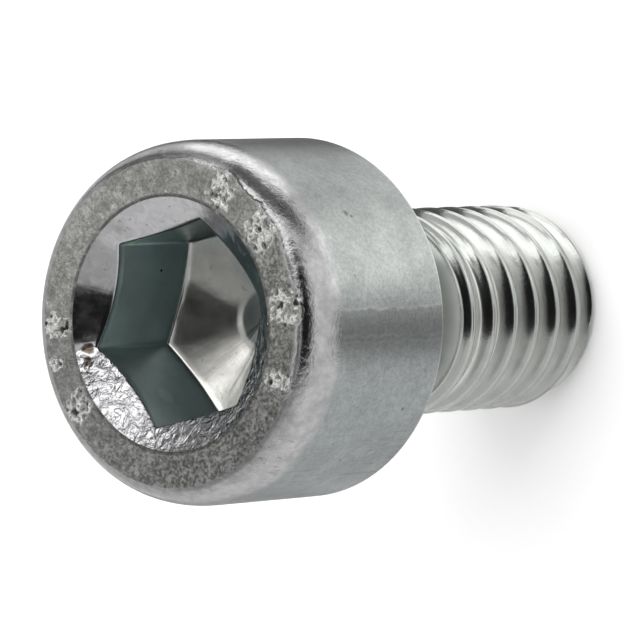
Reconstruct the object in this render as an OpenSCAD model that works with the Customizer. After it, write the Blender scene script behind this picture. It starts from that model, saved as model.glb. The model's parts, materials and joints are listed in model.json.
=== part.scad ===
// Hex socket cap screw, M6 x 10, in zinc-plated steel.
// It is one solid, cold-forged with a hexagon socket and a rolled right-hand thread.
// It stands on the flat end of its shank with the head up. The origin is the middle of that end.

/* [Head] */
// Diameter of the head
head_d = 10; // [9:0.1:13]
// Height of the head, from its bearing face to its top face
head_h = 5.85; // [5.5:0.05:8]
// How far the rounding at the top face reaches in from the head's side
edge_inset = 0.55; // [0.2:0.05:0.6]
// How far the rounding at the top face reaches down the head's side
edge_drop = 1.35; // [0.3:0.05:2]
// Width of the small bevel round the rim of the bearing face
rim_bevel = 0.15; // [0.05:0.01:0.3]

/* [Socket] */
// Width across flats of the key that fits the socket
key_width = 5; // [4:0.1:5.2]
// Clearance between the key and the socket, across the flats
key_clearance = 0.14; // [0.02:0.01:0.2]
// Depth of the socket at its corners
socket_depth = 3.35; // [3:0.05:3.8]
// Width of the countersunk ring outside the socket's corners
sink_width = 0.51; // [0.2:0.01:0.6]
// Included angle of the countersink
sink_angle = 110; // [90:1:130]
// Slope of the socket's conical bottom
bottom_slope = 20; // [10:1:25]
// Diameter of the flat at the middle of the socket's bottom
bottom_flat_d = 1.7; // [1:0.1:2.5]

/* [Thread] */
// Nominal diameter of the thread
thread_d = 6; // [5:0.1:7]
// How far the crests lie under the nominal diameter
crest_allowance = 0.1; // [0.02:0.01:0.2]
// Pitch of the thread
pitch = 1; // [0.7:0.05:1.25]
// Length from the bearing face to the tip
shank_length = 10.1; // [8:0.1:40]
// Length from the bearing face to where the thread starts to run out
neck_length = 2.4; // [1.5:0.1:3.5]
// Turns over which the groove runs out towards the neck
runout_turns = 2.6; // [1:0.1:3]
// Radius of the fillet between the neck and the bearing face
fillet_r = 0.3; // [0.2:0.05:0.5]
// Length of the bevel at the tip
tip_bevel_l = 0.5; // [0.3:0.05:0.8]
// Angle of the bevel at the tip, from the screw's axis
tip_bevel_angle = 35; // [25:1:45]
// Turn of the thread about the axis, against a socket corner
thread_turn = 250; // [0:1:359]

/* [Hidden] */

zinc = [0.74, 0.76, 0.77];

// Steps round each rounded stretch of the outline, and along one turn of the thread
arc_steps = 8;
turn_steps = 48;
// How far cutting shapes pass the surfaces that they cut
overcut = 0.5;

head_r = head_d / 2;
bearing_z = shank_length;
face_z = bearing_z + head_h;

// Form of the metric thread, a 60 degree V with flat crests an eighth of a pitch wide
sharp_h = pitch * cos(30);
crest_r = (thread_d - crest_allowance) / 2;
root_r = crest_r - sharp_h * 5 / 8;
neck_r = (crest_r + root_r) / 2;
tooth_h = crest_r - root_r;
crest_w = pitch / 8;
sink_in = tooth_h / 4;
tip_r = crest_r - tip_bevel_l * tan(tip_bevel_angle);

// The groove has its full depth up to full_z, and has run out at the neck
neck_z = bearing_z - neck_length;
full_z = neck_z - runout_turns * pitch;

// Socket sizes
corner_r = (key_width + key_clearance) / 2 / cos(30);
sink_r = corner_r + sink_width;
flat_r = bottom_flat_d / 2;
corner_z = face_z - socket_depth;
flat_z = corner_z - (corner_r - flat_r) * tan(bottom_slope);

// Points of an arc from angle a1 to a2 about [x, z], with its own reach along each axis
function arc(x, z, rx, rz, a1, a2) =
    [for (i = [0 : arc_steps]) let (a = a1 + (a2 - a1) * i / arc_steps) [x + rx * cos(a), z + rz * sin(a)]];

// Outlines as [radius, height]
head_outline = concat(
    [[0, bearing_z], [head_r - rim_bevel, bearing_z], [head_r, bearing_z + rim_bevel]],
    arc(head_r - edge_inset, face_z - edge_drop, edge_inset, edge_drop, 0, 90),
    [[0, face_z]]
);
core_outline = concat(
    [[0, -overcut], [root_r, -overcut], [root_r, full_z], [neck_r, neck_z]],
    arc(neck_r + fillet_r, bearing_z - fillet_r, fillet_r, fillet_r, 180, 90),
    [[neck_r + fillet_r, bearing_z + overcut], [0, bearing_z + overcut]]
);

// Turns of the thread, counted from the tip's plane
first_turn = -0.5;
last_turn = neck_z / pitch;
tooth_steps = ceil((last_turn - first_turn) * turn_steps);

// Section of the tooth as [height over the root, distance along the axis]
function tooth(height) = let (base_w = crest_w + 2 * (height + sink_in) * tan(30)) [
    [-sink_in, -base_w / 2],
    [height, -crest_w / 2],
    [height, crest_w / 2],
    [-sink_in, base_w / 2]
];

// Height of the tooth at a turn, which is full halfway along the run-out of the groove
function tooth_height(turn) = tooth_h * min(1, 2 * (last_turn - turn) / runout_turns);

// The tooth's corners at one turn of the helix
function tooth_ring(turn) =
    let (angle = thread_turn + 360 * turn)
    [for (p = tooth(tooth_height(turn))) [
        (root_r + p[0]) * cos(angle),
        (root_r + p[0]) * sin(angle),
        pitch * turn + p[1]
    ]];

// The ridge of the thread, one closed band that winds round the core
module thread_ridge() {
    n = 4;
    points = [for (i = [0 : tooth_steps]) each tooth_ring(last_turn - (tooth_steps - i) / turn_steps)];
    sides = [for (i = [0 : tooth_steps - 1]) for (j = [0 : n - 1])
        let (a = i * n + j, b = i * n + (j + 1) % n)
        each [[a, b, b + n], [a, b + n, a + n]]];
    start = [[3, 2, 1], [3, 1, 0]];
    last = tooth_steps * n;
    end = [[last, last + 1, last + 2], [last, last + 2, last + 3]];
    polyhedron(points, concat(start, sides, end));
}

// What the tip's bevel leaves of the shank
module tip_envelope() {
    rotate_extrude()
        polygon([
            [0, 0],
            [tip_r, 0],
            [crest_r + overcut, tip_bevel_l + overcut / tan(tip_bevel_angle)],
            [crest_r + overcut, bearing_z + 2 * overcut],
            [0, bearing_z + 2 * overcut]
        ]);
}

// The shape that the forging punch leaves, a hexagon with a conical bottom
module punch() {
    intersection() {
        translate([0, 0, flat_z - overcut])
            cylinder(r = corner_r, h = face_z - flat_z + 2 * overcut, $fn = 6);
        rotate_extrude()
            polygon([
                [0, flat_z],
                [flat_r, flat_z],
                [corner_r + overcut, corner_z + overcut * tan(bottom_slope)],
                [corner_r + overcut, face_z + 2 * overcut],
                [0, face_z + 2 * overcut]
            ]);
    }
}

// The countersink round the socket's mouth
module countersink() {
    rotate_extrude()
        polygon([
            [0, face_z - sink_r / tan(sink_angle / 2)],
            [sink_r + overcut * tan(sink_angle / 2), face_z + overcut],
            [0, face_z + overcut]
        ]);
}

// Neck and thread, down to the bevelled tip
module shank() {
    intersection() {
        union() {
            rotate_extrude()
                polygon(core_outline);
            thread_ridge();
        }
        tip_envelope();
    }
}

// The head with its socket
module head() {
    difference() {
        rotate_extrude()
            polygon(head_outline);
        punch();
        countersink();
    }
}

// The whole screw
module cap_screw() {
    color(zinc) {
        head();
        shank();
    }
}

cap_screw();
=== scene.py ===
"""Looks of an M6 x 10 hex socket cap screw in bright zinc, standing on the end of its shank."""

import json
import math

import bmesh
import bpy
import numpy as np
from mathutils import Matrix, Vector, noise


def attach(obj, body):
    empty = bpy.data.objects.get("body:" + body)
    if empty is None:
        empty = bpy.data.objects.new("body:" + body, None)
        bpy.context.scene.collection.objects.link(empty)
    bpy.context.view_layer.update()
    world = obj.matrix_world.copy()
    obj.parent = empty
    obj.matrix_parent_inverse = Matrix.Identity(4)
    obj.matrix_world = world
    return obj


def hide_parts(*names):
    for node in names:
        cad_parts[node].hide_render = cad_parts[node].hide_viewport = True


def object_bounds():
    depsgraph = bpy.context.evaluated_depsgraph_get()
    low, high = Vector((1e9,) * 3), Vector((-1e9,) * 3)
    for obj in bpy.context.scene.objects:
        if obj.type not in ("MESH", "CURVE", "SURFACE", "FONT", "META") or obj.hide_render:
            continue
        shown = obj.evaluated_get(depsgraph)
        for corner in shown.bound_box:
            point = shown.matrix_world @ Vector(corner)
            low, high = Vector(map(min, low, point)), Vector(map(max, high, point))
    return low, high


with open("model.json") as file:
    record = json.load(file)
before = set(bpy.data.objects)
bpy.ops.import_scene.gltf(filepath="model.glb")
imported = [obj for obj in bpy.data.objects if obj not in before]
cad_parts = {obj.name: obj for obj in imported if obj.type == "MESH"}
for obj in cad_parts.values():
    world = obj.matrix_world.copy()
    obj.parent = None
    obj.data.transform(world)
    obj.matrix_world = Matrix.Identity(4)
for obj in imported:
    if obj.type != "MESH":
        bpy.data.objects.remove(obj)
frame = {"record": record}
cad_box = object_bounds()

# Lengths are in millimetres, and the finished mesh is scaled to metres
MM = 0.001
mounts = {m["name"]: m for m in frame["record"]["mounts"]}
head_r = mounts["head_side"]["dims"]["r_mm"]
bearing_z = mounts["bearing_face"]["pos_m"][2] / MM
face_z = cad_box[1].z / MM

# Head
edge_inset = 0.55
edge_drop = 1.35
rim_bevel = 0.15
flat_edge_r = head_r - edge_inset
side_top_z = face_z - edge_drop
# Step from the ragged lip of the face down to the rounding
lip_bevel = 0.02

# Socket
apothem = 2.57
corner_r = apothem / math.cos(math.radians(30))
corner_round = 0.12
sink_width = 0.51
sink_r = corner_r + sink_width
sink_slope = math.tan(math.radians(35))
socket_depth = 3.35
corner_z = face_z - socket_depth
bottom_slope = math.tan(math.radians(20))
bottom_fillet = 0.07
flat_r = 0.85
# Rounding where the bottom's cone meets its flat, and bevels at the countersink's two edges
flat_round = 0.035
mouth_bevel = 0.03
sink_bevel = 0.02

# Thread, with crests and roots that the rolling dies leave round
pitch = 1.0
crest_r = 2.95
flank_slope = 1 / math.tan(math.radians(30))
crest_half = 0.3
root_half = 0.1
tooth_h = flank_slope * (pitch - crest_half - root_half) / 2
root_r = crest_r - tooth_h
neck_drop = 0.13
neck_r = crest_r - neck_drop
neck_length = 2.4
neck_z = bearing_z - neck_length
# Length of the run-out under the neck, and of the stretch where the groove is partly filled
runout_l = 2.6
filled_l = 4.0
fillet_r = 0.3
tip_bevel_l = 0.5
tip_bevel_tan = math.tan(math.radians(35))
tip_r = crest_r - tip_bevel_l * tip_bevel_tan
tip_round = 0.05
thread_turn = math.radians(250)

# Camera, fitted to the photo
cam_azimuth = 19.816
cam_elevation = 51.341
cam_roll = -93.147
cam_distance = 156.1
cam_focal = 324.3
sensor_width = 36
aim_right = 4.101
aim_up = 0.12

# Columns round the screw. Each count is twice the one before.
COARSE = 180
FINE = 2 * COARSE
FINEST = 2 * FINE

FACE, SIDE, SINK, WALL, BOTTOM, THREAD = range(6)


def camera_axes():
    """The camera's right, up and backward directions."""
    a, e, roll = (math.radians(v) for v in (cam_azimuth, cam_elevation, cam_roll))
    back = Vector((math.sin(a) * math.cos(e), -math.cos(a) * math.cos(e), math.sin(e)))
    flat_right = Vector((math.cos(a), math.sin(a), 0))
    flat_up = back.cross(flat_right)
    right = flat_right * math.cos(roll) + flat_up * math.sin(roll)
    return right, back.cross(right), back


right, up, back = camera_axes()
# Horizontal directions towards the camera, and towards the top of the picture
near_dir = Vector((back.x, back.y, 0)).normalized()
top_dir = Vector((-near_dir.y, near_dir.x, 0))

# Direction, in the screw's own frame, towards the camera's side, from which the angles of marks,
# wear and painted shade are counted
camera_side_angle = math.radians(-70.18)


def grain(points, size, octaves=4, seed=0.0):
    """Fractal noise from about -1 to 1 at each point, with lumps of a size in millimetres."""
    shift = Vector((seed, 2 * seed, -seed))
    return np.array([noise.fractal(Vector(p) / size + shift, 0.8, 2.0, octaves) for p in points])


def smooth_step(x, low, high):
    """0 below low, 1 above high, and smooth between."""
    t = np.clip((x - low) / (high - low), 0, 1)
    return t * t * (3 - 2 * t)


def smooth_max(a, b, width):
    """The larger of two values, rounded over a width where they meet."""
    h = np.clip(0.5 + 0.5 * (a - b) / width, 0, 1)
    return b + (a - b) * h + width * h * (1 - h)


def smooth_min(a, b, width):
    """The smaller of two values, rounded over a width where they meet."""
    return -smooth_max(-a, -b, width)


def angles(count):
    """Angle of each column, in radians."""
    return np.arange(count) * 2 * math.pi / count


def half_turns(degrees):
    """The same direction as an angle from -180 to 180."""
    return (degrees + 180) % 360 - 180


def degrees_from_camera_side(count):
    """Angle of each column from the direction towards the camera's side."""
    return half_turns(np.degrees(angles(count) - camera_side_angle))


def ring(radius, height, count):
    """Points round the axis. The radius and the height are numbers, or one for each column."""
    a = angles(count)
    return np.column_stack([radius * np.cos(a), radius * np.sin(a), height + 0 * a])


def hexagon_radius(count):
    """Distance from the axis to the socket's walls, with rounded corners."""
    a = angles(count)
    off = np.abs((a + math.pi / 6) % (math.pi / 3) - math.pi / 6)
    straight = apothem / np.cos(math.pi / 6 - off)
    centre = (apothem - corner_round) / math.cos(math.pi / 6)
    inside = np.maximum(corner_round ** 2 - (centre * np.sin(off)) ** 2, 0)
    rounded = centre * np.cos(off) + np.sqrt(inside)
    end = math.atan2(corner_round / 2, centre + corner_round * math.cos(math.pi / 6))
    return np.where(off < end, rounded, straight)


class Shell:
    """Vertices and faces that grow ring by ring into one closed mesh."""

    def __init__(self):
        self.points, self.faces, self.looks = [], [], []
        self.relief, self.worn = [], []

    def add(self, points, relief=0.0, worn=0.0):
        first = len(self.points)
        self.points.extend(map(tuple, points))
        self.relief.extend(np.broadcast_to(relief, len(points)))
        self.worn.extend(np.broadcast_to(worn, len(points)))
        return np.arange(first, len(self.points))

    def face(self, corners, look):
        kept = list(dict.fromkeys(int(c) for c in corners))
        if len(kept) > 2:
            self.faces.append(kept)
            self.looks.append(look)

    def join(self, a, b, look):
        """Fills the band between two rings, which have as many points or one twice as many."""
        if len(a) == len(b):
            for i, j in zip(range(len(a)), np.roll(range(len(a)), -1)):
                self.face((a[i], a[j], b[j], b[i]), look)
            return
        few, many = (a, b) if len(a) < len(b) else (b, a)
        for i in range(len(few)):
            c, d = few[i], few[(i + 1) % len(few)]
            p, q, s = many[2 * i], many[2 * i + 1], many[(2 * i + 2) % len(many)]
            for tri in ((c, q, p), (c, d, q), (d, s, q)):
                self.face(tri, look)

    def grow(self, last, points, look, relief=0.0, worn=0.0):
        """Adds a ring and the band that joins it to the last one."""
        new = self.add(points, relief, worn)
        self.join(last, new, look)
        return new

    def cap(self, loop, centre, look):
        """Closes a ring with a fan about a centre."""
        middle = self.add([centre])[0]
        for i in range(len(loop)):
            self.face((loop[i], loop[(i + 1) % len(loop)], middle), look)


def bottom_z(radius):
    """Height of the socket's bottom, a cone that turns into a flat."""
    cone = corner_z - (corner_r - radius) * bottom_slope
    flat = corner_z - (corner_r - flat_r) * bottom_slope
    return smooth_max(cone, flat, flat_round)


def socket_bottom(shell):
    """The flat and the cone that the forging punch leaves, with a small fillet up to the walls."""
    inner, *others = (share * flat_r for share in (0.3, 0.6, 0.85))
    last = shell.add(ring(inner, bottom_z(inner), COARSE))
    shell.cap(last, (0, 0, bottom_z(0)), BOTTOM)
    for radius in others:
        last = shell.grow(last, ring(radius, bottom_z(radius), COARSE), BOTTOM)
    wall = hexagon_radius(FINE)
    for share in np.linspace(0, 1, 14):
        radius = flat_r + (wall - bottom_fillet - flat_r) * share
        points = ring(radius, bottom_z(radius), FINE)
        points[:, 2] += 0.006 * grain(points, 0.7, 3, seed=4) * min(1, 3 * share)
        last = shell.grow(last, points, BOTTOM)
    for bend in (30, 55, 75):
        bend = math.radians(bend)
        radius = wall - bottom_fillet * (1 - math.sin(bend))
        height = bottom_z(radius) + bottom_fillet * (1 - math.cos(bend))
        last = shell.grow(last, ring(radius, height, FINE), BOTTOM)
    return last


def sink_z(radius):
    """Height of the countersink."""
    return face_z - (sink_r - radius) * sink_slope


def socket_walls(shell, last):
    """The six walls, from the bottom up to the countersink."""
    wall = hexagon_radius(FINEST)
    low, high = bottom_z(wall) + bottom_fillet, sink_z(wall) - mouth_bevel
    for share in np.linspace(0, 1, 13):
        last = shell.grow(last, ring(wall, low + (high - low) * share, FINEST), WALL)
    return last


# Angle at which the countersink is smoothest, the picture's upper left, and its roughness there
smooth_angle = 120
least_rough = 0.15


def countersink(shell, last):
    """The crinkled cone round the socket's mouth."""
    inner = hexagon_radius(FINEST) + mouth_bevel
    away = np.abs(half_turns(degrees_from_camera_side(FINEST) - smooth_angle))
    rough = least_rough + (1 - least_rough) * smooth_step(away, 65, 85)
    for share in np.linspace(0, 1, 10):
        radius = inner + (sink_r - sink_bevel - inner) * share
        points = ring(radius, sink_z(radius), FINEST)
        crinkle = 0.02 * grain(points, 0.3, seed=3) + 0.004 * grain(points, 0.09, 3, seed=6)
        points[:, 2] += rough * crinkle * math.sin(math.pi * min(share, 0.9) + 0.15)
        last = shell.grow(last, points, SINK)
    return last


# Worn raised patches on the face, as angle, radius, length round the face, width across it
patches = [
    (59, 4.05, 0.95, 1.15),
    (34, 4.05, 1.0, 1.2),
    (4, 4.12, 1.0, 1.45),
    (-24, 4.0, 0.6, 1.1),
    (178, 4.0, 0.85, 1.1),
    (193, 4.25, 0.45, 0.7),
    (212, 3.98, 0.95, 1.1),
]

# Ragged edge of the grainy face, as angle from the camera's side and radius.
# It spreads over the rounding where the face was struck hardest.
lip_edge = [
    (-180, 4.44), (-30, 4.44), (-25, 4.55), (-18, 4.44), (-4, 4.45), (0, 4.62),
    (8, 4.64), (13, 4.46), (20, 4.46), (25, 4.55), (31, 4.6), (36, 4.57),
    (42, 4.59), (47, 4.54), (52, 4.53), (56, 4.62), (60, 4.63), (64, 4.57),
    (68, 4.52), (76, 4.52), (90, 4.48), (120, 4.44), (180, 4.44),
]

# How far the worn patches stand over the face, and how much more their crumbs do
patch_rise = 0.012
crumb_rise = 0.055
# How far the lip stands over the rounding, and how much more where it spreads
lip_rise = 0.006
spread_rise = 0.022


def face_relief(points):
    """Height of the grain over the face, and how far each point is in a worn patch, from 0 to 1."""
    crumbs = 1 - 2.4 * np.abs(grain(points, 0.26, 3, seed=5))
    ragged = grain(points, 0.3, 3, seed=8)
    worn = np.zeros(len(points))
    x, y = points[:, 0], points[:, 1]
    for angle, radius, length, width in patches:
        a = camera_side_angle + math.radians(angle)
        along = (y * math.cos(a) - x * math.sin(a)) / (length / 2)
        across = (x * math.cos(a) + y * math.sin(a) - radius) / (width / 2)
        worn = np.maximum(worn, 1 - smooth_step(np.hypot(along, across) + 0.5 * ragged, 0.75, 1.15))
    height = 0.006 * grain(points, 0.12, 3, seed=1) + 0.012 * grain(points, 0.4, 3, seed=2)
    clear_of_sink = smooth_step(np.hypot(x, y), sink_r, sink_r + 0.2)
    return height + clear_of_sink * worn * (patch_rise + crumb_rise * crumbs), worn


def head_z(radius):
    """Height of the head's top over a radius: flat, then the rounding's ellipse."""
    over = np.clip((radius - flat_edge_r) / edge_inset, 0, 1)
    return face_z - edge_drop * (1 - np.sqrt(1 - over ** 2))


def lip_radius():
    """Ragged edge of the grainy face."""
    circle = ring(4.6, 0, FINEST)
    ragged = 0.025 * grain(circle, 0.4, seed=7) + 0.02 * grain(circle, 0.1, 3, seed=11)
    return np.interp(degrees_from_camera_side(FINEST), *zip(*lip_edge)) + ragged


def lip_height():
    """How far the lip stands over the rounding."""
    around = degrees_from_camera_side(FINEST)
    spread = smooth_step(around, -35, -15) * (1 - smooth_step(around, 70, 95))
    return lip_rise + spread_rise * spread


def face_ring(shell, last):
    """The flat grainy ring round the countersink, out to the ragged lip."""
    lip, step = lip_radius(), lip_height()
    spread = smooth_step(step, 0.01, 0.025)
    for share in np.linspace(0, 1, 28):
        radius = sink_r + (lip - sink_r) * share
        points = ring(radius, head_z(radius), FINEST)
        height, worn = face_relief(points)
        worn = np.maximum(worn, smooth_step(radius, lip - 0.14, lip - 0.03) * spread)
        fade = 1.0 if 0 < share < 1 else 0.3
        rise = step * smooth_step(radius, flat_edge_r - 0.35, flat_edge_r)
        rise *= 1 + 0.5 * smooth_step(share, 0.9, 0.97)
        points[:, 2] += height * fade + rise - sink_bevel * (share == 0)
        last = shell.grow(last, points, FACE, height, worn)
    return last, lip


def rounded_edge(shell, last, lip):
    """The rounding between the face and the side. It starts just under the ragged lip."""
    start = np.arcsin(np.clip((lip + lip_bevel - flat_edge_r) / edge_inset, 0.01, 1))
    for k, share in enumerate(np.linspace(0, 1, 18)):
        count = FINEST if k < 2 else FINE
        first = start[::FINEST // count]
        b = first + (math.pi / 2 - first) * share
        radius = flat_edge_r + edge_inset * np.sin(b)
        points = ring(radius, face_z - edge_drop * (1 - np.cos(b)), count)
        wave = 0.002 * grain(points, 0.8, 3, seed=9) + 0.001 * grain(points, 0.25, 3, seed=10)
        points[:, :2] *= 1 + (wave * (1 - share) / head_r)[:, None]
        last = shell.grow(last, points, SIDE)
    return last


def head_side(shell, last):
    """The straight side, the small bevel under it and the bearing face."""
    low = bearing_z + rim_bevel
    for share in np.linspace(0, 1, 24)[1:]:
        last = shell.grow(last, ring(head_r, side_top_z + (low - side_top_z) * share, COARSE), SIDE)
    last = shell.grow(last, ring(head_r - rim_bevel, bearing_z, COARSE), SIDE)
    for share in (0.34, 0.67, 1):
        radius = head_r - rim_bevel + (neck_r + fillet_r - head_r + rim_bevel) * share
        last = shell.grow(last, ring(radius, bearing_z, COARSE), SIDE)
    return last


def tooth_drop(off):
    """Depth under the crest at a distance along the axis: round crest, flank and round root."""
    crest = flank_slope * off ** 2 / (2 * crest_half)
    flank = flank_slope * (off - crest_half / 2)
    root = tooth_h - flank_slope * (pitch / 2 - off) ** 2 / (2 * root_half)
    return np.where(off < crest_half, crest, np.where(off < pitch / 2 - root_half, flank, root))


def shank_radius(angle, z):
    """Distance from the axis to the shank: neck, run-out, thread and bevelled tip."""
    phase = z / pitch - (angle - thread_turn) / (2 * math.pi)
    off = np.abs(phase - np.round(phase)) * pitch
    height = tooth_h * np.minimum(1, 2 * np.clip((neck_z - z) / runout_l, 0, 1))
    filled = 1 - np.clip((neck_z - z) / filled_l, 0, 1)
    core = root_r + (neck_r - root_r) * filled ** 0.6
    radius = smooth_max(root_r + height - tooth_drop(off), core, 0.03 + 0.09 * filled)
    rise = np.clip(z - (bearing_z - fillet_r), 0, fillet_r)
    radius = radius + fillet_r - np.sqrt(fillet_r ** 2 - rise ** 2)
    return smooth_min(radius, tip_r + z * tip_bevel_tan, tip_round)


def shank(shell, top):
    """The shank, in rows that follow the helix and stop at the bearing face and the tip."""
    rows_per_turn = 18
    step = pitch / rows_per_turn
    # A row's points this close to an end are those of the end's own ring
    margin = step * 0.2
    turns = math.ceil(bearing_z / pitch) + 1
    a = angles(COARSE)
    tip = shell.add(ring(shank_radius(a, 0 * a), 0, COARSE))
    grid = []
    for row in range(-rows_per_turn, turns * rows_per_turn + 1):
        z = row * step + pitch * a / (2 * math.pi)
        radius = shank_radius(a, np.clip(z, 0, bearing_z))
        inside = (z > margin) & (z < bearing_z - margin)
        index = np.where(z >= bearing_z - margin, top, tip)
        groove = (crest_r - radius) / tooth_h * smooth_step(neck_z - z, 0.6, 2.4)
        index[inside] = shell.add(ring(radius, z, COARSE)[inside], groove[inside])
        grid.append(index)
    for k in range(len(grid) - 1):
        for j in range(COARSE):
            n, over = (j + 1) % COARSE, rows_per_turn * (j == COARSE - 1)
            low = grid[k + over] if k + over < len(grid) else top
            high = grid[k + 1 + over] if k + 1 + over < len(grid) else top
            shell.face((grid[k][j], low[n], high[n], grid[k + 1][j]), THREAD)
    return tip


def tip_end(shell, tip):
    """The flat end of the shank."""
    last = tip
    for share in (0.97, 0.7, 0.35):
        last = shell.grow(last, ring(tip_r * share, 0, COARSE), THREAD)
    shell.cap(last, (0, 0, 0), THREAD)


def turn_outwards(mesh):
    """Makes every face look out of the metal."""
    bm = bmesh.new()
    bm.from_mesh(mesh)
    bmesh.ops.recalc_face_normals(bm, faces=bm.faces)
    bm.to_mesh(mesh)
    bm.free()


def build_screw():
    """One closed mesh of the whole screw."""
    shell = Shell()
    last = socket_walls(shell, socket_bottom(shell))
    last, lip = face_ring(shell, countersink(shell, last))
    last = head_side(shell, rounded_edge(shell, last, lip))
    tip_end(shell, shank(shell, last))
    mesh = bpy.data.meshes.new("screw")
    mesh.from_pydata((np.array(shell.points) * MM).tolist(), [], shell.faces)
    mesh.polygons.foreach_set("material_index", shell.looks)
    mesh.polygons.foreach_set("use_smooth", [True] * len(shell.faces))
    for name, values in (("relief", shell.relief), ("worn", shell.worn)):
        mesh.attributes.new(name, "FLOAT", "POINT").data.foreach_set("value", values)
    mesh.validate()
    obj = bpy.data.objects.new("screw", mesh)
    bpy.context.scene.collection.objects.link(obj)
    turn_outwards(mesh)
    mesh.set_sharp_from_angle(angle=math.radians(38))
    return obj


def grey(tone):
    """A colour with the same red, green and blue."""
    return (tone, tone, tone)


class Wires:
    """Short ways to build the nodes of a material or of the sky."""

    def __init__(self, tree, coordinates, turn, scale):
        self.tree = tree
        mapping = self.new("ShaderNodeMapping")
        mapping.inputs["Rotation"].default_value = (0, 0, -turn)
        mapping.inputs["Scale"].default_value = (scale, scale, scale)
        self.link(self.new("ShaderNodeTexCoord").outputs[coordinates], mapping.inputs["Vector"])
        self.place = mapping.outputs["Vector"]
        parts = self.new("ShaderNodeSeparateXYZ")
        self.link(self.place, parts.inputs[0])
        self.ahead, self.aside, self.high = parts.outputs
        # Angle round the axis in degrees, and distance from it
        self.around = self.times(self.maths("ARCTAN2", self.aside, self.ahead), math.degrees(1))
        flat = self.new("ShaderNodeVectorMath", operation="MULTIPLY")
        self.link(self.place, flat.inputs[0])
        flat.inputs[1].default_value = (1, 1, 0)
        length = self.new("ShaderNodeVectorMath", operation="LENGTH")
        self.link(flat.outputs[0], length.inputs[0])
        self.radius = length.outputs["Value"]

    def new(self, kind, **values):
        node = self.tree.nodes.new(kind)
        for key, value in values.items():
            setattr(node, key, value)
        return node

    def link(self, a, b):
        self.tree.links.new(a, b)

    def put(self, value, socket):
        """Sets a socket to a number or a colour, or links it."""
        if isinstance(value, (int, float)):
            socket.default_value = value
        elif isinstance(value, tuple):
            socket.default_value = (*value, 1) if len(socket.default_value) == 4 else value
        else:
            self.link(value, socket)

    def maths(self, operation, a, b):
        node = self.new("ShaderNodeMath", operation=operation)
        self.put(a, node.inputs[0])
        self.put(b, node.inputs[1])
        return node.outputs[0]

    def times(self, a, b):
        return self.maths("MULTIPLY", a, b)

    def span(self, value, low, high, to_low=0.0, to_high=1.0):
        """Maps a value from low..high to to_low..to_high, with soft ends."""
        node = self.new("ShaderNodeMapRange", interpolation_type="SMOOTHSTEP")
        ends = {"From Min": low, "From Max": high, "To Min": to_low, "To Max": to_high}
        for key, number in ends.items():
            node.inputs[key].default_value = number
        self.link(value, node.inputs["Value"])
        return node.outputs["Result"]

    def window(self, value, low, high, soft):
        """1 between low and high, and 0 a soft edge further out."""
        rise = self.span(value, low - soft, low)
        return self.times(rise, self.span(value, high, high + soft, 1.0, 0.0))

    def mix(self, factor, a, b, blend="MIX"):
        """A colour between a and b, through the mix node's sockets for colours."""
        node = self.new("ShaderNodeMix", data_type="RGBA", blend_type=blend)
        self.put(factor, node.inputs[0])
        self.put(a, node.inputs[6])
        self.put(b, node.inputs[7])
        return node.outputs[2]

    def lay(self, colour, mask, strength, tone):
        """Lays a tone over a colour where a mask is 1."""
        return self.mix(self.times(mask, strength), colour, tone)

    def tint(self, colour, factor, a, b):
        """Multiplies a colour by a tone between a and b."""
        return self.mix(1.0, colour, self.mix(factor, a, b), "MULTIPLY")

    def noise(self, per_mm, detail=4.0, roughness=0.6, twist=0.0, place=None):
        """Noise with so many lumps in each millimetre, as one number or one for each direction."""
        stretch = self.new("ShaderNodeVectorMath", operation="MULTIPLY")
        self.link(place or self.place, stretch.inputs[0])
        stretch.inputs[1].default_value = per_mm if isinstance(per_mm, tuple) else (per_mm,) * 3
        node = self.new("ShaderNodeTexNoise")
        node.inputs["Scale"].default_value = 1.0
        node.inputs["Detail"].default_value = detail
        node.inputs["Roughness"].default_value = roughness
        node.inputs["Distortion"].default_value = twist
        self.link(stretch.outputs[0], node.inputs["Vector"])
        return node.outputs["Fac"]

    def polar(self, per_degree, per_mm):
        """Place as angle round the axis and distance from it, for marks that run outwards."""
        join = self.new("ShaderNodeCombineXYZ")
        self.put(self.times(self.around, per_degree), join.inputs[0])
        self.put(self.times(self.radius, per_mm), join.inputs[1])
        return join.outputs[0]

    def spot(self, angle, radius, high, size, ragged):
        """1 in a ragged spot about a place on the surface, and 0 outside it."""
        a = math.radians(angle)
        node = self.new("ShaderNodeVectorMath", operation="DISTANCE")
        self.link(self.place, node.inputs[0])
        node.inputs[1].default_value = (radius * math.cos(a), radius * math.sin(a), high)
        reach = self.maths("ADD", node.outputs["Value"], self.times(ragged, size))
        return self.span(reach, size * 1.1, size * 1.5, 1.0, 0.0)

    def bump(self, height, distance, strength=1.0, under=None):
        node = self.new("ShaderNodeBump")
        node.inputs["Strength"].default_value = strength
        node.inputs["Distance"].default_value = distance * MM
        self.link(height, node.inputs["Height"])
        if under is not None:
            self.link(under, node.inputs["Normal"])
        return node.outputs["Normal"]


class Metal(Wires):
    """The material of one surface, which counts places in millimetres."""

    def __init__(self, name, metallic=1.0):
        self.material = bpy.data.materials.new(name)
        self.material.use_nodes = True
        super().__init__(self.material.node_tree, "Object", camera_side_angle, 1 / MM)
        self.shader = self.tree.nodes["Principled BSDF"]
        self.set("Metallic", metallic)

    def set(self, key, value):
        self.put(value, self.shader.inputs[key])

    def stored(self, name):
        """A value that the mesh holds at each of its points."""
        return self.new("ShaderNodeAttribute", attribute_name=name).outputs["Fac"]

    def finish(self, colour, roughness, normal=None):
        self.set("Base Color", colour)
        self.set("Roughness", roughness)
        if normal is not None:
            self.set("Normal", normal)
        return self.material


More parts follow.
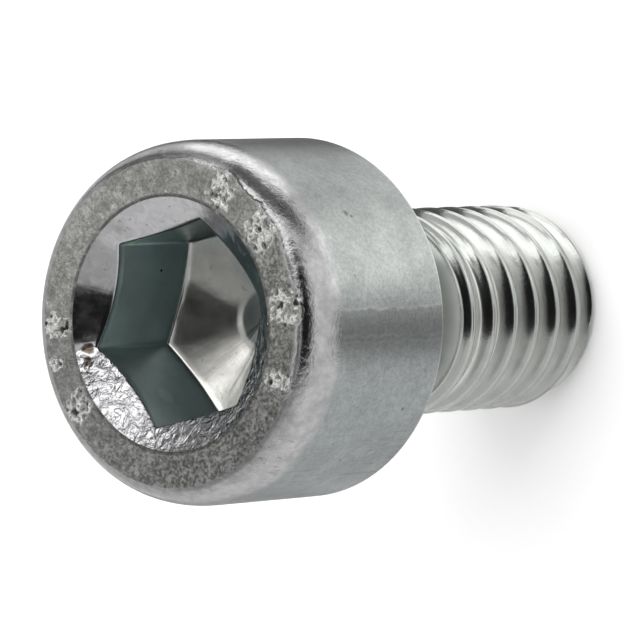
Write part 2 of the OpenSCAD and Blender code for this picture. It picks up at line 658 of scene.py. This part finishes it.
# Pits and specks in the side, as angle, height and size
side_pits = [
    (33, 13.25, 0.11),
    (32, 13.1, 0.07),
    (-32, 11.3, 0.07),
    (-52, 12.7, 0.05),
    (12, 13.9, 0.04),
    (-44, 13.6, 0.05),
]
# Thin bright scratches down the side, as angle, half width and strength
side_scratches = [(1.6, 0.3, 0.45), (-7, 0.25, 0.3), (-9, 0.2, 0.15)]


def side_steel():
    """Satin side of the head with its stain, pits and scratches. The rounding is burnished."""
    n = Metal("side_steel")
    n.set("Specular Tint", grey(0.7))
    clouds = n.noise(1.1, 5)
    fine = n.noise(16, 3, 0.7)
    speckle = n.noise(7, 4, 0.7)
    lines = n.noise((9, 9, 0.5), 4)
    wavy = n.maths("ADD", n.around, n.span(n.noise((0.6, 0.6, 2.2), 3), 0.3, 0.7, -0.6, 0.6))
    hoops = n.noise((0.5, 0.5, 11), 3)
    burnished = n.span(n.high, side_top_z - 0.1, side_top_z + 0.35)
    satin = n.maths("SUBTRACT", 1.0, burnished)
    colour = n.mix(n.span(n.around, -40, 10), (0.24, 0.257, 0.26), (0.244, 0.258, 0.25))
    smudges = n.noise(3, 4, 0.7)
    polish = n.mix(n.span(smudges, 0.35, 0.65), grey(0.265), grey(0.345))
    colour = n.mix(burnished, colour, polish)
    colour = n.tint(colour, n.span(clouds, 0.3, 0.7), grey(0.92), grey(1.07))
    for grains in (speckle, fine):
        shaded = n.tint(colour, n.span(grains, 0.35, 0.65), grey(0.9), grey(1.1))
        colour = n.mix(satin, colour, shaded)
    stain = n.times(n.span(n.around, -15, -7), n.span(wavy, 0.2, 1.2, 1.0, 0.0))
    colour = n.lay(colour, n.times(stain, satin), 0.22, (0.08, 0.08, 0.085))
    streaks = n.times(n.window(n.around, -75, -14, 12), n.span(hoops, 0.6, 0.72))
    colour = n.lay(colour, streaks, 0.14, (0.42, 0.43, 0.43))
    along = n.times(n.window(n.around, -62, -44, 6), n.span(lines, 0.58, 0.66))
    colour = n.lay(colour, along, 0.6, (0.15, 0.145, 0.135))
    for angle, half, strength in side_scratches:
        thin = n.times(n.window(wavy, angle - half, angle + half, 0.35), n.span(lines, 0.4, 0.65))
        colour = n.lay(colour, n.times(thin, satin), strength, (0.42, 0.43, 0.42))
    for angle, high, size in side_pits:
        pit = n.spot(angle, head_r, high, size, speckle)
        colour = n.lay(colour, pit, 0.75, (0.09, 0.085, 0.08))
    pits = n.span(n.noise(4.5, 3, 0.6), 0.66, 0.72)
    colour = n.lay(colour, pits, 0.35, (0.14, 0.13, 0.11))
    # A thin lighter line along the top of the rim's bevel
    rim_z = bearing_z + rim_bevel
    colour = n.lay(colour, n.window(n.high, rim_z, rim_z + 0.03, 0.03), 0.3, (0.55, 0.56, 0.55))
    # Painted light: the bearing face is lighter, which brightens the neck that mirrors it
    under = n.span(n.high, bearing_z + 0.01, bearing_z + 0.05, 1.0, 0.0)
    colour = n.mix(under, colour, (0.46, 0.47, 0.46))
    rough = n.mix(burnished, n.span(clouds, 0.3, 0.7, 0.36, 0.3), grey(0.16))
    normal = n.bump(fine, 0.008, 0.6, n.bump(speckle, 0.014, 0.5))
    normal = n.bump(n.times(burnished, n.maths("ADD", fine, speckle)), 0.006, 0.35, normal)
    battered = n.times(n.window(n.around, -22, 62, 10), n.span(n.high, face_z - 1.1, face_z - 0.2))
    normal = n.bump(n.times(battered, n.noise(3, 2, 0.5, 0.5)), 0.04, 0.45, normal)
    return n.finish(colour, rough, n.bump(lines, 0.006, 0.35, normal))


def face_steel():
    """Coarse grain of the face with painted shade, and crumbly worn patches with painted shade and
    highlight.
    """
    n = Metal("face_steel")
    coarse = n.noise(2.6, 5, 0.7, 0.5)
    fine = n.noise(11, 4, 0.65)
    relief, worn = n.stored("relief"), n.stored("worn")
    # Painted shade: the face is lighter towards the key's side and darker towards the camera's side
    shaded_tone = n.mix(n.span(n.aside, -4.6, 4.6), (0.175, 0.177, 0.172), (0.285, 0.29, 0.275))
    shaded_tone = n.tint(shaded_tone, n.span(n.ahead, -4.6, 4.6), grey(1.12), grey(0.85))
    blasted = n.span(n.maths("SUBTRACT", n.ahead, n.aside), -2.5, 4.5)
    gritty = n.mix(n.span(fine, 0.38, 0.62), (0.56, 0.56, 0.55), (1.66, 1.66, 1.64))
    smooth = n.mix(n.span(fine, 0.36, 0.64), (0.78, 0.78, 0.78), (1.26, 1.26, 1.25))
    colour = n.tint(shaded_tone, blasted, smooth, gritty)
    colour = n.tint(colour, n.span(coarse, 0.35, 0.65), (0.8, 0.8, 0.79), (1.2, 1.2, 1.2))
    # Painted shadow: a thin dark line round the countersink's edge
    edge = n.window(n.radius, sink_r, sink_r + 0.05, 0.05)
    colour = n.lay(colour, edge, n.span(coarse, 0.4, 0.55, 0.2, 0.75), (0.06, 0.06, 0.055))
    # Worn patches: lighter worn metal, with painted shade in the hollows between the crumbs and
    # painted highlight on their tops
    bright = n.mix(n.span(relief, -0.028, 0.0), (0.04, 0.036, 0.032), (0.38, 0.38, 0.365))
    bright = n.mix(n.span(relief, 0.015, 0.05), bright, (0.72, 0.72, 0.7))
    colour = n.lay(colour, worn, 0.85, bright)
    grit = n.times(fine, n.span(blasted, 0.0, 1.0, 0.5, 1.0))
    normal = n.bump(grit, 0.055, 1.0, n.bump(coarse, 0.14, 1.0))
    return n.finish(colour, n.span(worn, 0.2, 0.8, 0.3, 0.2), normal)


# Rust spots in the countersink, as angle, radius and size
rust_spots = [(-170, 3.16, 0.22), (-164, 3.24, 0.17)]


def sink_steel():
    """Glossy, crinkled countersink with a few brown specks, and painted shade along its creases."""
    n = Metal("sink_steel")
    crinkle = n.noise(3, 4, 0.55, 1.0)
    creases = n.noise(3, 3, 0.5, 1.2)
    specks = n.span(n.noise(7, 2), 0.64, 0.72)
    colour = n.mix(n.span(crinkle, 0.3, 0.7), (0.36, 0.36, 0.37), (0.43, 0.425, 0.43))
    colour = n.lay(colour, specks, 0.6, (0.2, 0.16, 0.13))
    rust = n.mix(n.span(creases, 0.42, 0.58), (0.015, 0.012, 0.01), (0.08, 0.058, 0.04))
    for angle, radius, size in rust_spots:
        colour = n.lay(colour, n.spot(angle, radius, sink_z(radius), size, creases), 0.95, rust)
    rough_side = n.times(n.span(n.around, -174, -162), n.span(n.around, -40, 30, 1.0, 0.0))
    # Painted shade: thin dark lines along the creases on the crinkled side
    crease_shade = n.times(rough_side, n.window(creases, 0.495, 0.505, 0.015))
    colour = n.lay(colour, crease_shade, 0.8, grey(0.08))
    normal = n.bump(n.times(rough_side, crinkle), 0.11, 0.7)
    normal = n.bump(n.times(rough_side, creases), 0.05, 0.6, normal)
    return n.finish(colour, n.span(crinkle, 0.3, 0.7, 0.18, 0.1), normal)


# Marks on the socket's walls and a painted glint, as angle, radius, height, size, strength and
# colour
wall_glint_and_marks = [
    # A painted glint
    (127, 2.92, 15.1, 0.22, 0.7, (0.75, 0.85, 0.5)),
    # A lighter patch
    (-132, 2.6, 14.2, 0.3, 0.3, (0.75, 0.85, 0.85)),
    # A black dot
    (145.6, 2.656, 13.53, 0.05, 1.0, (0.02, 0.02, 0.02)),
]


def wall_steel():
    """Satin socket walls with a faint grain along the axis, a few marks and a painted glint."""
    n = Metal("wall_steel")
    lines = n.noise((6, 6, 0.5), 3)
    clouds = n.noise(1.2, 3)
    colour = n.mix(n.span(clouds, 0.3, 0.7), (0.41, 0.495, 0.5), (0.47, 0.56, 0.56))
    colour = n.mix(n.span(lines, 0.4, 0.7, 0.0, 0.25), colour, (0.49, 0.58, 0.58))
    grit = n.noise(6, 3)
    for angle, radius, high, size, strength, tone in wall_glint_and_marks:
        colour = n.lay(colour, n.spot(angle, radius, high, size, grit), strength, tone)
    return n.finish(colour, n.span(clouds, 0.3, 0.7, 0.34, 0.28), n.bump(lines, 0.006, 0.25))


def bottom_steel():
    """Socket's bottom, smooth, with soft radial streaks on one side, a few specks and painted shade
    on its flat middle.
    """
    n = Metal("bottom_steel")
    cloud = n.noise(1.2, 4)
    fine = n.noise(8, 4, 0.7)
    streaks = n.noise(1, 3, 0.5, place=n.polar(0.07, 0.15))
    specks = n.span(n.noise(6, 3, 0.7), 0.64, 0.7)
    colour = n.mix(n.span(cloud, 0.3, 0.7), (0.35, 0.345, 0.325), (0.42, 0.42, 0.4))
    colour = n.lay(colour, specks, 0.5, (0.16, 0.15, 0.13))
    # Painted shade: the flat middle of the bottom is darker
    middle = n.span(n.radius, flat_r - 0.1, flat_r, 0.45, 0.0)
    colour = n.mix(middle, colour, (0.14, 0.15, 0.15))
    streaky = n.times(n.span(n.around, -155, -140), n.span(n.around, -90, -60, 1.0, 0.0))
    normal = n.bump(n.times(streaks, streaky), 0.04, 0.25, n.bump(fine, 0.004, 0.4))
    return n.finish(colour, n.span(cloud, 0.3, 0.7, 0.21, 0.16), normal)


def thread_steel():
    """Rolled thread, with its grooves painted lighter than its crests as painted light, and crests
    much darker near the neck.
    """
    n = Metal("thread_steel")
    fine = n.noise(9, 4, 0.7)
    broad = n.noise(1.4, 3)
    groove = n.span(n.stored("relief"), 0.3, 0.7)
    near_neck = n.span(n.high, neck_z - 1.6, neck_z - 0.4)
    crest = n.mix(near_neck, (0.325, 0.335, 0.32), (0.12, 0.13, 0.118))
    # Painted light: the deeper in the groove, the lighter the colour
    colour = n.mix(groove, crest, (0.58, 0.59, 0.565))
    colour = n.tint(colour, n.span(broad, 0.3, 0.7), grey(0.93), grey(1.05))
    rough = n.mix(groove, n.span(broad, 0.3, 0.7, 0.2, 0.15), grey(0.45))
    return n.finish(colour, rough, n.bump(fine, 0.006, 0.5))


def add_screw():
    screw = build_screw()
    for look in (face_steel, side_steel, sink_steel, wall_steel, bottom_steel, thread_steel):
        screw.data.materials.append(look())
    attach(screw, "root")
    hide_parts("cap_screw")


def quad(name, corners, material):
    """A flat sheet of the studio, with corners in millimetres to the camera, the top and up."""
    mesh = bpy.data.meshes.new(name)
    places = [near_dir * near + top_dir * top + Vector((0, 0, high)) for near, top, high in corners]
    mesh.from_pydata([tuple(p * MM) for p in places], [], [(0, 1, 2, 3)])
    obj = bpy.data.objects.new(name, mesh)
    obj.data.materials.append(material)
    bpy.context.scene.collection.objects.link(obj)
    return obj


def card(name, corners, brightness):
    """A sheet that shows only in reflections and glows with a brightness."""
    n = Metal(name, metallic=0.0)
    n.set("Specular IOR Level", 0.0)
    n.set("Emission Color", grey(1))
    n.set("Emission Strength", brightness)
    obj = quad(name, corners, n.finish(grey(0), 1.0))
    obj.visible_camera = obj.visible_diffuse = obj.visible_shadow = False


# Parts of the sky, as angles from the camera's side (least, most), elevations, edge and brightness
sky_patches = [
    ((118, 155), (-8, 38), 4, 0.3),
    ((47, 124), (32, 60), 4, 3.0),
    ((44, 60), (-3, 43), 3, 3.0),
    ((-165, -100), (40, 82), 6, 0.52),
    ((-82, -40), (36, 70), 8, 0.72),
]
sky_brightness = 1.08
flag_brightness = 0.015


def add_sky():
    """White all round, with a soft key on the picture's top side and dark flags near the camera."""
    world = bpy.data.worlds.new("studio")
    bpy.context.scene.world = world
    world.use_nodes = True
    n = Wires(world.node_tree, "Generated", math.atan2(near_dir.y, near_dir.x), 1.0)
    elevation = n.times(n.maths("ARCSINE", n.high, 0.0), math.degrees(1))
    light = grey(sky_brightness)
    for (least, most), (low, high), soft, brightness in sky_patches:
        inside = n.window(n.around, least, most, soft)
        inside = n.times(inside, n.window(elevation, low, high, soft))
        light = n.mix(inside, light, grey(brightness))
    # A flag whose two sides lean, so each is an angle that changes with the elevation
    left = n.maths("ADD", n.around, n.times(n.maths("SUBTRACT", elevation, 25.0), 0.56))
    other = n.maths("ADD", n.around, n.times(n.maths("SUBTRACT", elevation, 26.0), 0.4))
    flag = n.times(n.window(elevation, 8, 66, 2), n.span(left, 40, 43, 1.0, 0.0))
    flag = n.times(flag, n.span(other, -35, -32))
    # A small flag near the sky's pole
    pole = n.times(n.span(n.aside, -0.31, -0.28), n.span(n.aside, 0.12, 0.46, 1.0, 0.0))
    pole = n.times(pole, n.times(n.window(n.ahead, -0.12, 0.1, 0.05), n.span(n.high, 0.8, 0.85)))
    for dark in (flag, pole):
        light = n.mix(dark, light, grey(flag_brightness))
    n.link(light, world.node_tree.nodes["Background"].inputs["Color"])


# Low cards that only reflections show, as corners (near, top) in millimetres and brightness
low_cards = [
    ([(8, 19), (9, 32), (-28, 62), (-14, 19)], 3.1),
    ([(-90, 66), (14, 76), (60, 300), (-120, 300)], 0.3),
    ([(12, 24), (27, 18), (34, 44), (6, 70)], 0.3),
    ([(30, 11), (33, 20), (75, 38), (70, 10)], 2.2),
    ([(11, -5.5), (21, -7.5), (21, 0), (11, 0)], 0.2),
    ([(10, 3), (20, 4), (14, 19), (6.5, 9.5)], 2.7),
    ([(3.6, 2.6), (4.6, 8.5), (-2.4, 8.5), (0.4, 3.2)], 2.4),
    ([(-0.6, 2.8), (-2.5, 8.5), (-12, 8.5), (-7, 2.8)], 0.15),
    ([(-6, -4), (-6, -16), (-22, -16), (-22, -2)], 0.7),
]
# Upright cards beside the screw, as place to the top, corners (near, height) and brightness
upright_cards = [
    (8.6, [(4.6, 0.9), (-1, 0.9), (-1, 3.9), (4.6, 3.9)], 2.6),
    (8.6, [(-1, 0.9), (-14, 0.9), (-14, 10), (-1, 10)], 0.15),
    (7, [(1.6, 14.3), (5.5, 13.2), (5.5, 17.8), (1.6, 16.3)], 0.3),
    (7, [(5.5, 13.2), (9.4, 11.6), (9.4, 13.4), (5.5, 17.8)], 0.25),
]
# Height of the first low card, and how much higher each next one lies, so that none coincide
card_z = 0.3
card_step = 0.05
floor_half = 3000
# The fill light, in metres and watts
fill_size = 1.2
fill_height = 0.7
fill_power = 4.2


def add_studio():
    """A pale floor lit from above, the sky, and cards for the head and the thread to mirror."""
    paint = Metal("floor_paint", metallic=0.0).finish(grey(0.94), 0.9)
    signs = ((-1, -1), (1, -1), (1, 1), (-1, 1))
    quad("floor", [(floor_half * near, floor_half * top, 0) for near, top in signs], paint)
    for k, (corners, brightness) in enumerate(low_cards):
        level = card_z + card_step * k
        card(f"low_card_{k}", [(near, top, level) for near, top in corners], brightness)
    for k, (top, corners, brightness) in enumerate(upright_cards):
        card(f"upright_card_{k}", [(near, top, high) for near, high in corners], brightness)
    data = bpy.data.lights.new("fill", "AREA")
    data.shape, data.size, data.energy = "DISK", fill_size, fill_power
    fill = bpy.data.objects.new("fill", data)
    fill.location = (0, 0, fill_height)
    fill.visible_camera = fill.visible_glossy = False
    bpy.context.scene.collection.objects.link(fill)
    add_sky()


def add_camera():
    """The camera that takes the photo's picture."""
    data = bpy.data.cameras.new("camera")
    data.lens = cam_focal
    data.sensor_width = sensor_width
    data.clip_start, data.clip_end = 0.01, 20
    camera = bpy.data.objects.new("camera", data)
    aim = Vector((0, 0, face_z)) + right * aim_right + up * aim_up
    turn = Matrix((right, up, back)).transposed().to_4x4()
    camera.matrix_world = Matrix.Translation((aim + back * cam_distance) * MM) @ turn
    bpy.context.scene.collection.objects.link(camera)
    bpy.context.scene.camera = camera


add_camera()
add_screw()
add_studio()
bpy.context.scene.view_settings.view_transform = "Standard"
